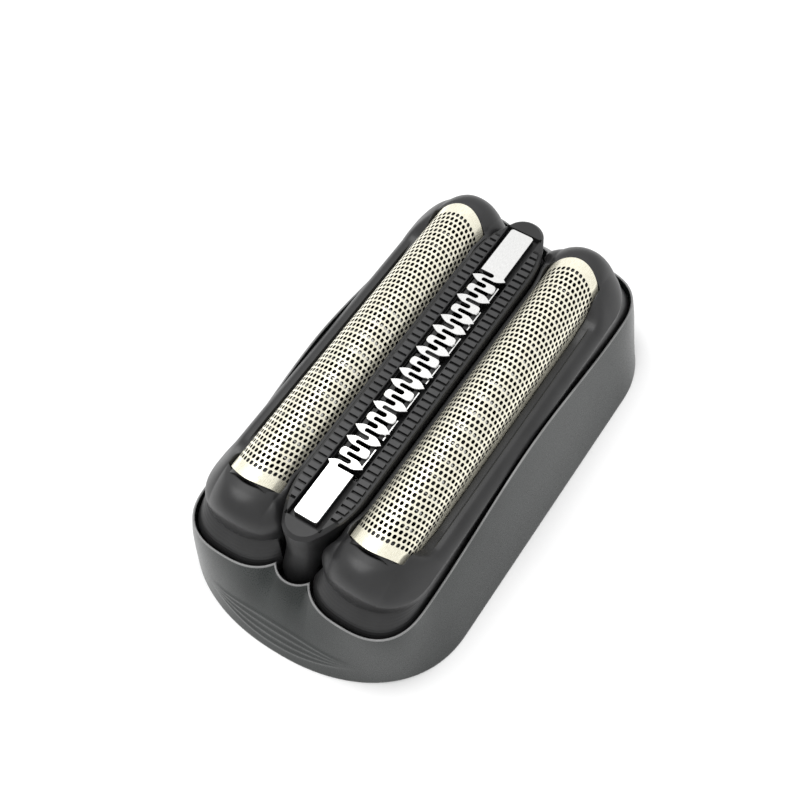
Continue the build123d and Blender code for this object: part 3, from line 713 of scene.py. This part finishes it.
def frame_height(points, inward, width, sideways):
    """Top of a foil frame: tall rounded end lobes that fall in a saddle to grooved side rails."""
    out = points[:, 1] - FOIL_Y
    outside = out > 0
    turned = np.where(outside, sideways, sideways**LOBE_INNER_POWER)
    drop = LOBE_ROUND + (np.where(outside, LOBE_SIDE_DROP, LOBE_INNER_ROUND) - LOBE_ROUND) * turned
    radius = LOBE_ROUND + (np.where(outside, LOBE_SIDE_ROUND, LOBE_INNER_ROUND) - LOBE_ROUND) * turned
    steep = 1 - np.clip(inward / radius, 0, 1)
    round_fall = 1 - np.sqrt(1 - steep**2)
    fall = round_fall + (steep**LOBE_SIDE_POWER - round_fall) * sideways * outside
    crown = LOBE_TOP - LOBE_CROWN_DROP * np.minimum((out / FOIL_RADIUS) ** 2, 1)
    lobe = crown - drop * fall
    climb = smooth_step((np.abs(points[:, 0]) - SADDLE_FOOT) / (SADDLE_HEAD - SADDLE_FOOT))
    lip = RAIL_LIP_DROP * smooth_step((RAIL_GROOVE - out) / RAIL_LIP_WIDTH + 0.5)
    groove = RAIL_GROOVE_DEPTH * np.exp(-(((out - RAIL_GROOVE) / RAIL_GROOVE_WIDTH) ** 2))
    fade = 1 - smooth_step((np.abs(points[:, 0]) - GROOVE_FADE_START) / (SADDLE_FOOT - GROOVE_FADE_START))
    rail = np.where(outside, RAIL_Z - (lip + groove) * fade, INNER_LIP_Z)
    edge = np.where(outside, RAIL_EDGE, INNER_LIP_EDGE)
    saddle = rail + (LOBE_TOP + LOBE_ROUND - rail) * climb - rounding(inward, edge)
    blended = -SADDLE_BLEND * np.logaddexp(-lobe / SADDLE_BLEND, -saddle / SADDLE_BLEND)
    return blended - rounding(width - inward, WINDOW_EDGE)


def frame_floor(points):
    """Underside of a floating frame, notched over the drive bridge."""
    return np.where(np.abs(points[:, 0]) < FLOOR_NOTCH, NOTCH_TOP, FRAME_BOTTOM)


def frame_columns(core):
    """Side stations of a floating frame, with the two edges of the bridge notch."""
    inside = np.linspace(0, FLOOR_NOTCH - NOTCH_STEP, NOTCH_STATIONS)
    outside = np.linspace(FLOOR_NOTCH + NOTCH_STEP, core, SIDE_STATIONS)
    half = np.concatenate([inside, outside])
    return np.concatenate([-half[:0:-1], half])


def frame_ring():
    """Ring of the left foil frame, from its skirt over the crease and the lobes to the foil's window."""
    rays = ring_rays(FRAME_CORE, FOIL_Y, FRAME_FAN, frame_columns(FRAME_CORE))
    sideways = rays[1][:, 1] ** 2
    outer = reach(rays, frame_plan)
    window = reach(rays, window_plan)
    lip_share = smooth_step((FRAME_CORE - np.abs(rays[0][:, 0])) / INNER_LIP_FADE)
    inner = window - INNER_LIP_REACH * lip_share * (rays[1][:, 1] < -STRAIGHT_ACROSS)
    width = outer - inner
    inset = np.minimum(SKIRT_INSET, SKIRT_INSET_SHARE * width)
    foot = np.maximum(reach(rays, skirt_plan) - SKIRT_GAP, outer - inset)
    pocket = np.where(sideways < POCKET_TURN, outer - POCKET_WALL, window)
    floor = frame_floor(rays[0])
    rows = [loop(rays, foot, floor)]
    for share in np.linspace(0, 1, SKIRT_LINE_ROWS * SKIRT_LINES + 1):
        line = SKIRT_LINE_DEPTH * np.cos(2 * np.pi * SKIRT_LINES * share)
        z = SKIRT_FOOT_Z + (CREASE_Z - 2 * CREASE_LIP - SKIRT_FOOT_Z) * share
        rows.append(loop(rays, foot + (outer - inset - foot) * share**SKIRT_FLARE_POWER + line, z))
    rows.append(loop(rays, outer - CREASE_LIP, CREASE_Z - CREASE_LIP))
    edge = frame_height(loop(rays, outer, 0), 0 * width, width, sideways)
    for share in EDGE_SHARES:
        rows.append(loop(rays, outer, CREASE_Z + (edge - CREASE_Z) * share))
    for share in TOP_SHARES:
        inward = share * width
        points = loop(rays, outer - inward, 0)
        rows.append(loop(rays, outer - inward, frame_height(points, inward, width, sideways)))
    rows.append(loop(rays, window, np.minimum(FOIL_AXIS_Z, rows[-1][:, 2] - WINDOW_EDGE)))
    rows.append(loop(rays, window, CREASE_Z))
    rows.append(loop(rays, pocket, CREASE_Z))
    rows.append(loop(rays, pocket, floor))
    return skin(rows)


def foil_frame(side, material):
    """Frame that holds one foil, with a shelf across its pocket at each end."""
    parts = [frame_ring()]
    for end in (-1, 1):
        x0, x1 = sorted((end * SHELF_X[0], end * SHELF_X[1]))
        parts.append(slab(x0, x1, FOIL_Y - SHELF_HALF_WIDTH, FOIL_Y + SHELF_HALF_WIDTH, *SHELF_Z))
    name = side_name(side)
    body = name + "_foil_element"
    shell = mirrored(*joined(parts), side)
    piece(name + "_frame_shell", *shell, material, "frame_black", body, name + "_foil_frame")


def plugs(side, material):
    """Plugs that close the arch of one foil at its two ends."""
    name = side_name(side)
    for end in (-1, 1):
        x = end * (PLUG_X + PLUG_LENGTH / 2)
        plug = round_back(x, PLUG_LENGTH, FOIL_RADIUS - 2 * FOIL_THICKNESS, CREASE_Z)
        label = name + ("_plug_far" if end > 0 else "_plug_near")
        piece(label, *mirrored(*plug, side), material, "frame_black", name + "_foil_element")


def divided(path):
    """Path with three more points in every run."""
    runs = path[:-1, None] + (path[1:] - path[:-1])[:, None] * RUN_SHARES[None, :, None]
    return np.concatenate([runs.reshape(-1, 2), path[-1:]])


def hole_cell(x, s):
    """Six-sided cell of the foil with a rounded six-sided hole, as a ring of quads."""
    half = HOLE_PITCH / 2
    corners = [(CELL_POINT, 0), (CELL_FLAT, half), (-CELL_FLAT, half)]
    corners = np.array(corners + [(-a, -b) for a, b in corners] + corners[:1])
    rim = divided(corners)[:-1]
    turn = np.arctan2(rim[:, 1] / half, rim[:, 0] / CELL_POINT)
    size = np.array((HOLE_HALF_LENGTH, HOLE_HALF_WIDTH))
    oval = np.column_stack([np.cos(turn), np.sin(turn)]) * size
    hole = rim / (CELL_POINT, half) * size * (1 - HOLE_ROUNDNESS) + oval * HOLE_ROUNDNESS
    points = np.concatenate([rim, hole]) + (x, s)
    count = len(rim)
    faces = [[i, (i + 1) % count, (i + 1) % count + count, i + count] for i in range(count)]
    return points, faces


def quad_field(xs, ss):
    """Plain quads between stations along and across the foil."""
    points = np.array([(x, s) for s in ss for x in xs])
    count = len(xs)
    faces = []
    for row in range(len(ss) - 1):
        for column in range(count - 1):
            corner = row * count + column
            faces.append([corner, corner + 1, corner + count + 1, corner + count])
    return points, faces


def margin(path, axis, limit):
    """Plain strip from a border path out to a straight edge."""
    edge = path.copy()
    edge[:, axis] = limit
    points = np.concatenate([path + (edge - path) * share for share in MARGIN_SHARES])
    count = len(path)
    corners = [row * count + i for row in range(len(MARGIN_SHARES) - 1) for i in range(count - 1)]
    return points, [[c, c + 1, c + count + 1, c + count] for c in corners]


def foil_sheet():
    """Flat pattern of a foil: staggered holes inside plain margins, as merged points and faces."""
    edge = FOIL_RADIUS * math.pi / 2 + FOIL_FLANK
    half = HOLE_PITCH / 2
    columns = (np.arange(HOLE_COLUMNS) - (HOLE_COLUMNS - 1) / 2) * HOLE_STEP
    top = HOLE_ROWS * half
    last = columns[-1] + CELL_FLAT
    patches = []
    side_path = []
    for i, x in enumerate(columns):
        odd = i % 2
        rows = HOLE_ROWS - odd
        patches.extend(hole_cell(x, (row - (rows - 1) / 2) * HOLE_PITCH) for row in range(rows))
        side_path.extend([(x - CELL_FLAT, top - odd * half), (x + CELL_FLAT, top - odd * half)])
    end_path = [(last, top)]
    for row in range(HOLE_ROWS):
        low = top - (row + 1) * HOLE_PITCH
        end_path.extend([(columns[-1] + CELL_POINT, low + half), (last, low)])
    side_path = divided(np.array(side_path))
    end_path = divided(np.array(end_path))
    corner_x = last + (FOIL_HALF_LENGTH - last) * MARGIN_SHARES
    corner_s = top + (edge - top) * MARGIN_SHARES
    for sign in (1, -1):
        patches.append(margin(sign * side_path, 1, sign * edge))
        patches.append(margin(sign * end_path, 0, sign * FOIL_HALF_LENGTH))
        for s_sign in (1, -1):
            patches.append(quad_field(sorted(sign * corner_x), sorted(s_sign * corner_s)))
    points = np.concatenate([p for p, _ in patches])
    starts = np.cumsum([0] + [len(p) for p, _ in patches])
    keys, index = np.unique(np.round(points / MERGE).astype(np.int64), axis=0, return_inverse=True)
    index = index.ravel()
    merged = np.zeros((len(keys), 2))
    merged[index] = points
    faces = []
    for start, (_, patch) in zip(starts, patches):
        faces.extend(index[np.array(patch) + start].tolist())
    return merged, faces


def arched(flat, radius):
    """Flat pattern bent over the left foil's axis, with straight flanks and bowed ends."""
    s = flat[:, 1]
    quarter = FOIL_RADIUS * math.pi / 2
    turn = np.clip(s, -quarter, quarter) / FOIL_RADIUS
    y = radius * np.sin(turn)
    z = FOIL_AXIS_Z + radius * np.cos(turn) - np.maximum(np.abs(s) - quarter, 0)
    x = flat[:, 0] * (1 - FOIL_BOW / FOIL_HALF_LENGTH * np.sin(turn) ** 2)
    return np.column_stack([x, FOIL_Y + y, z])


def thickened(outer, inner, faces):
    """Closed sheet from two matching layers, with walls along every open edge."""
    count = len(outer)
    directed = set()
    for face in faces:
        directed.update(zip(face, face[1:] + face[:1]))
    walls = [[b, a, a + count, b + count] for a, b in directed if (b, a) not in directed]
    back = [[i + count for i in reversed(face)] for face in faces]
    return np.concatenate([outer, inner]), faces + back + walls


def foil(side, material, inside):
    """Perforated foil bent into an arch, with dark shade painted on its inside and hole walls."""
    flat, faces = foil_sheet()
    outer = arched(flat, FOIL_RADIUS)
    inner = arched(flat, FOIL_RADIUS - FOIL_THICKNESS)
    sheet = mirrored(*thickened(outer, inner, faces), side)
    name = side_name(side)
    body = name + "_foil_element"
    obj = piece(name + "_foil_mesh", *sheet, material, "foil_nickel", body, name + "_foil")
    # The back and the hole walls take the dark inside material, painted shade for the holes
    obj.data.materials.append(inside)
    for polygon in obj.data.polygons[len(faces):]:
        polygon.material_index = 1


def blade_stack(side, material, core_material):
    """Row of round-backed blades on a core painted near-black as the shade under one foil."""
    half = BLADE_PITCH * (BLADE_COUNT - 1) / 2 + BLADE_THICKNESS / 2
    sides = (FOIL_Y - CORE_HALF_WIDTH, FOIL_Y + CORE_HALF_WIDTH)
    core = slab(-half, half, *sides, CORE_BOTTOM, FOIL_AXIS_Z)
    parts = []
    for i in range(BLADE_COUNT):
        x = (i - (BLADE_COUNT - 1) / 2) * BLADE_PITCH
        parts.append(round_back(x, BLADE_THICKNESS, BLADE_RADIUS, BLADE_FOOT_Z))
    name = side_name(side)
    body = name + "_cutter"
    blades = mirrored(*joined(parts), side)
    piece(name + "_blades", *blades, material, "blade_steel", body, name + "_blade_stack")
    # The core takes the near-black material, painted shade under the foil
    piece(name + "_blade_core", *mirrored(*core, side), core_material, "inner_black", body)


def rib_stations():
    """Side stations of the trimmer with the rise and fall of every rib, and the height share at each."""
    stations = []
    for i in range(-(RIB_COUNT // 2), RIB_COUNT // 2 + 1):
        for offset, high in ((-RIB_HALF_SHARE, 0), (RIB_FLANK - RIB_HALF_SHARE, 1),
                             (RIB_HALF_SHARE - RIB_FLANK, 1), (RIB_HALF_SHARE, 0)):
            stations.append(((i + offset) * RIB_PITCH, high))
    return np.array(stations)


def box_plan(half_length, half_width):
    """Plan of a plain oblong recess."""
    def plan(points):
        return np.maximum(np.abs(points[:, 0]) - half_length, np.abs(points[:, 1]) - half_width)
    return plan


def trimmer_frame(material, rib_highlight):
    """Trimmer body: ribbed shoulders and round noses about the guard's recess, over a narrower shaft."""
    stations = rib_stations()
    rays = ring_rays(TRIMMER_CORE, 0, TRIMMER_FAN, stations[:, 0])
    on_nose = np.abs(rays[1][:, 1]) < 1
    outer = reach(rays, trimmer_plan(0))
    recess = reach(rays, box_plan(RECESS_HALF_LENGTH, RECESS_HALF_WIDTH))
    room = reach(rays, box_plan(RECESS_HALF_LENGTH - RECESS_LEDGE, ROOM_HALF_WIDTH))
    shaft = outer - np.where(on_nose, NOSE_INSET, BODY_INSET)
    pocket = np.where(np.abs(rays[1][:, 1]) < NOSE_POCKET_TURN, shaft - POCKET_WALL, room)
    low = np.where(on_nose, 0, 1 - np.interp(rays[0][:, 0], stations[:, 0], stations[:, 1]))
    rib_top = TRIMMER_TOP - RIB_DEPTH * low
    floor = frame_floor(rays[0])
    nose = reach(rays, nose_well_plan(0))
    foot = np.where(on_nose, np.maximum(nose - NOSE_GAP, shaft), shaft)
    rows = [loop(rays, foot, floor), loop(rays, foot, SKIRT_FOOT_Z), loop(rays, shaft, CREASE_Z)]
    rows.append(loop(rays, shaft, SHOULDER_Z))
    rows.append(loop(rays, outer, SHOULDER_Z))
    edge_top = TRIMMER_TOP - np.where(on_nose, RIB_EDGE / 2, RIB_DEPTH)
    rows.append(loop(rays, outer, edge_top - RIB_EDGE / 2))
    rows.append(loop(rays, outer - RIB_EDGE_IN, edge_top - RIB_EDGE_DOWN))
    rows.append(loop(rays, outer - RIB_EDGE, np.where(on_nose, TRIMMER_TOP, edge_top)))
    rib_row = len(rows)
    rows.append(loop(rays, outer - RIB_START, rib_top))
    rows.append(loop(rays, recess + RIB_LIP, rib_top))
    rows.append(loop(rays, recess + RIB_LIP_TOP, TRIMMER_TOP))
    rows.append(loop(rays, recess + RECESS_EDGE, TRIMMER_TOP))
    rows.append(loop(rays, recess, TRIMMER_TOP - RECESS_EDGE))
    rows.append(loop(rays, recess, RECESS_FLOOR))
    rows.append(loop(rays, room, RECESS_FLOOR))
    rows.append(loop(rays, room, CREASE_Z))
    rows.append(loop(rays, pocket, CREASE_Z))
    rows.append(loop(rays, pocket, floor))
    parts = [skin(rows)]
    for end in (-1, 1):
        x0, x1 = sorted((end * ROOM_HALF_LENGTH, end * GUARD_HALF_LENGTH))
        parts.append(slab(x0, x1, -RECESS_HALF_WIDTH, RECESS_HALF_WIDTH, CREASE_Z, RECESS_FLOOR))
        pad_top = GUARD_TOP - GUARD_THICKNESS
        parts.append(slab(x0, x1, -PAD_HALF_WIDTH, PAD_HALF_WIDTH, RECESS_FLOOR, pad_top))
    mesh = joined(parts)
    body = piece("trimmer_body", *mesh, material, "trimmer_black", "trimmer_element", "trimmer_frame")
    body.data.materials.append(rib_highlight)
    count = len(outer)
    # The tops of the proud ribs take the rib material, a lighter grey painted on as their highlight
    proud = ~on_nose & (low == 0)
    for column in np.flatnonzero(proud & np.roll(proud, -1)):
        body.data.polygons[rib_row * count + column].material_index = 1


def finger(x, half_width, tip, powers):
    """Edge of one guard finger, from its left flank over its tip to its right flank."""
    share = np.linspace(0, 1, FINGER_POINTS)
    half = half_width * (1 - share ** powers[0]) ** powers[1]
    y = FINGER_NECK + (tip - FINGER_NECK) * share
    left = np.column_stack([x - half, y])
    right = np.column_stack([x + half, y])[-2::-1]
    return np.concatenate([left, right])


def slot_end(x, width, y):
    """Round end of one slot in the guard."""
    turn = np.linspace(np.pi, 2 * np.pi, SLOT_POINTS)
    radius = width / 2
    return np.column_stack([x + radius * np.cos(turn), y + radius + radius * np.sin(turn)])


def guard_edge(first_x, slot_width, slot_y, blunt):
    """One long edge of the guard: fingers and slots in turn between its plain ends."""
    corner_y = GUARD_HALF_WIDTH - GUARD_CORNER
    end = GUARD_HALF_LENGTH - GUARD_CORNER
    turn = np.linspace(np.pi, np.pi / 2, CORNER_POINTS)
    corner = np.column_stack([np.cos(turn), np.sin(turn)]) * GUARD_CORNER
    points = [corner + (-end, corner_y)]
    for i in range(FINGER_COUNT):
        x = first_x + i * FINGER_PITCH
        is_blunt = i % BLUNT_CYCLE in blunt
        tip = BLUNT_TIP if is_blunt else POINTED_TIP
        powers = BLUNT_POWERS if is_blunt else POINTED_POWERS
        edge = finger(x, (FINGER_PITCH - slot_width) / 2, tip, powers)
        if i == 0:
            edge = edge[(edge[:, 1] > GUARD_HALF_WIDTH) | (edge[:, 0] > x)]
        points.append(edge)
        points.append(slot_end(x + FINGER_PITCH / 2, slot_width, slot_y))
    plain_x = first_x + (FINGER_COUNT - 0.5) * FINGER_PITCH + slot_width / 2
    points.append(np.array([(plain_x, GUARD_HALF_WIDTH)]))
    points.append(corner[::-1] * (-1, 1) + (end, corner_y))
    return np.concatenate(points)


def bevelled_plate(outline, z0, z1, bevel):
    """Plate on a closed outline, with its edges broken by a small bevel."""
    count = len(outline)
    ahead = np.roll(outline, -1, axis=0) - outline
    ahead /= np.linalg.norm(ahead, axis=1)[:, None]
    tangent = ahead + np.roll(ahead, 1, axis=0)
    tangent /= np.linalg.norm(tangent, axis=1)[:, None]
    inner = outline + bevel * np.column_stack([-tangent[:, 1], tangent[:, 0]])
    layers = [(inner, z0), (outline, z0 + bevel), (outline, z1 - bevel), (inner, z1)]
    vertices = np.concatenate([np.column_stack([flat, np.full(count, z)]) for flat, z in layers])
    last = len(layers) - 1
    faces = [list(range(count - 1, -1, -1)), list(range(last * count, (last + 1) * count))]
    for row in range(last):
        start = row * count
        for i in range(count):
            j = (i + 1) % count
            faces.append([start + i, start + j, start + j + count, start + i + count])
    return vertices, faces


def guard(material):
    """Steel guard: plain ends joined by a winding strip of pointed and blunt fingers."""
    left = guard_edge(FINGER_FIRST_X, LEFT_SLOT_WIDTH, LEFT_SLOT_END, LEFT_BLUNT)
    last_x = FINGER_FIRST_X + (FINGER_COUNT - 0.5) * FINGER_PITCH
    right = guard_edge(-last_x, RIGHT_SLOT_WIDTH, -RIGHT_SLOT_END, RIGHT_BLUNT)
    outline = np.concatenate([left, -right])[::-1]
    plate = bevelled_plate(outline, GUARD_TOP - GUARD_THICKNESS, GUARD_TOP, GUARD_BEVEL)
    piece("guard_plate", *plate, material, "guard_steel", "trimmer_element", "trimmer_guard")


def comb(steel, dark):
    """Moving comb under the guard: a bar painted near-black as the shade under the guard, whose teeth
    have ground edges.
    """
    bar = [slab(-COMB_HALF_LENGTH, COMB_HALF_LENGTH, -COMB_HALF_WIDTH, COMB_HALF_WIDTH, *COMB_Z)]
    teeth = []
    for i in range(TOOTH_COUNT):
        x = (i - (TOOTH_COUNT - 1) / 2) * TOOTH_PITCH
        x0 = max(x - TOOTH_LENGTH / 2, -COMB_HALF_LENGTH)
        x1 = min(x + TOOTH_LENGTH / 2, COMB_HALF_LENGTH)
        bar.append(slab(x0, x1, -TOOTH_INNER, TOOTH_INNER, *COMB_Z))
        teeth.append(slab(x0, x1, -TOOTH_REACH, -TOOTH_INNER, *COMB_Z))
    # The bar takes the near-black material, painted shade under the guard
    piece("trimmer_comb", *joined(bar), dark, "blade_steel", "trimmer_blade", "trimmer_cutter")
    piece("trimmer_comb_teeth", *joined(teeth), steel, "blade_steel", "trimmer_blade")


def world():
    """Even white surround."""
    surround = bpy.data.worlds.new("surround")
    surround.use_nodes = True
    background = surround.node_tree.nodes["Background"]
    background.inputs["Color"].default_value = (1, 1, 1, 1)
    background.inputs["Strength"].default_value = WORLD_STRENGTH
    bpy.context.scene.world = surround
    bpy.context.scene.view_settings.view_transform = "Standard"


def lamps():
    """Broad softbox overhead and a smaller key lamp on the left foil's side."""
    for name, lamp in LAMPS.items():
        data = bpy.data.lights.new(name, "AREA")
        data.shape = "DISK"
        data.size = lamp["size"]
        data.energy = lamp["power"]
        obj = bpy.data.objects.new(name, data)
        obj.location = lamp["place"]
        obj.rotation_euler = Vector(lamp["place"]).to_track_quat("Z", "Y").to_euler()
        bpy.context.collection.objects.link(obj)


def floor():
    """Pale studio floor."""
    bpy.ops.mesh.primitive_plane_add(size=FLOOR_SIZE)
    ground = bpy.context.object
    ground.name = "floor"
    material, tree, bsdf = shader("floor_white")
    tint = spread_colour(tree, grain(tree, FLOOR_GRAIN), FLOOR_DARK, FLOOR_LIGHT)
    tree.links.new(tint.outputs["Color"], bsdf.inputs["Base Color"])
    bsdf.inputs["Roughness"].default_value = FLOOR_ROUGHNESS
    bsdf.inputs["Specular IOR Level"].default_value = FLOOR_SPECULAR
    ground.data.materials.append(material)


def main():
    """Studio, finishes and pieces of the head."""
    camera()
    world()
    lamps()
    floor()
    finish = {name: moulded(name, **look) for name, look in PLASTICS.items()}
    finish.update({name: metal(name, **look) for name, look in METALS.items()})
    housing(finish["housing_gloss"], finish["rim_painted_highlight"])
    for side in (-1, 1):
        foil_frame(side, finish["frame_satin"])
        plugs(side, finish["frame_satin"])
        foil(side, finish["foil_nickel"], finish["foil_inside_painted_shade"])
        blade_stack(side, finish["blade_steel"], finish["interior_painted_shade"])
    trimmer_frame(finish["trimmer_satin"], finish["rib_painted_highlight"])
    guard(finish["guard_steel"])
    comb(finish["guard_steel"], finish["interior_painted_shade"])
    for name, node in frame["nodes"].items():
        match = [look for key, look in HIDDEN_FINISHES.items() if key in name]
        node.data.materials.clear()
        node.data.materials.append(finish[match[-1] if match else HIDDEN_FINISH])


main()
